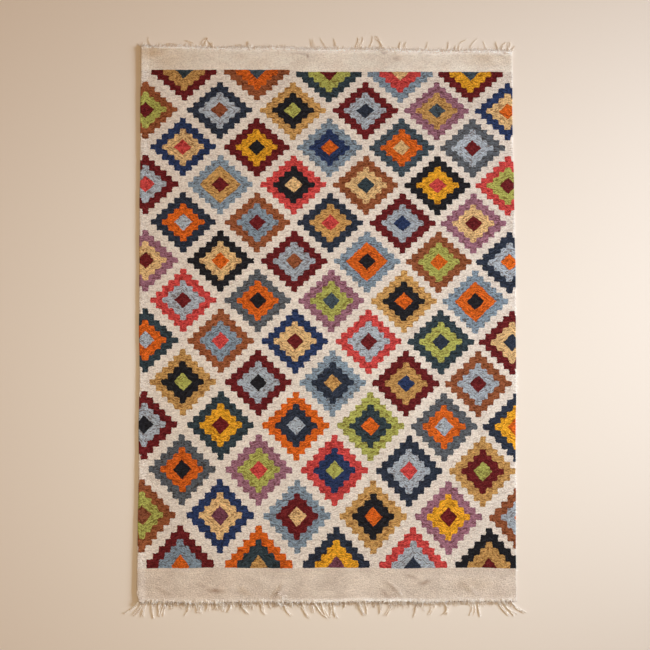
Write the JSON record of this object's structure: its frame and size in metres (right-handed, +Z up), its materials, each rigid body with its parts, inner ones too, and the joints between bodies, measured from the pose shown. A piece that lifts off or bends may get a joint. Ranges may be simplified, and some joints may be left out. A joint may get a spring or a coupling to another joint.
{
  "type": "kilim rug",
  "caption": "Flat-woven wool floor rug with a field of stepped diamonds in many yarn colours, plain undyed end bands and loose warp fringes.",
  "frame": {"origin": "middle of the whole rug seen from above, fringes included, on the floor that it lies on", "axes": "+Z up out of the pattern side, +Y along the rug towards its head, which has the shorter fringe, +X across it to the right"},
  "size_m": [1.2932, 1.8734, 0.0052],
  "materials": {
    "wool_weave": "matte flat-woven wool in many dyed colours on undyed cream",
    "warp_yarn": "matte undyed twisted wool yarn"
  },
  "bodies": {
    "root": {"rug_cloth": "wool_weave", "head_fringe": "warp_yarn", "foot_fringe": "warp_yarn"}
  },
  "joints": []
}
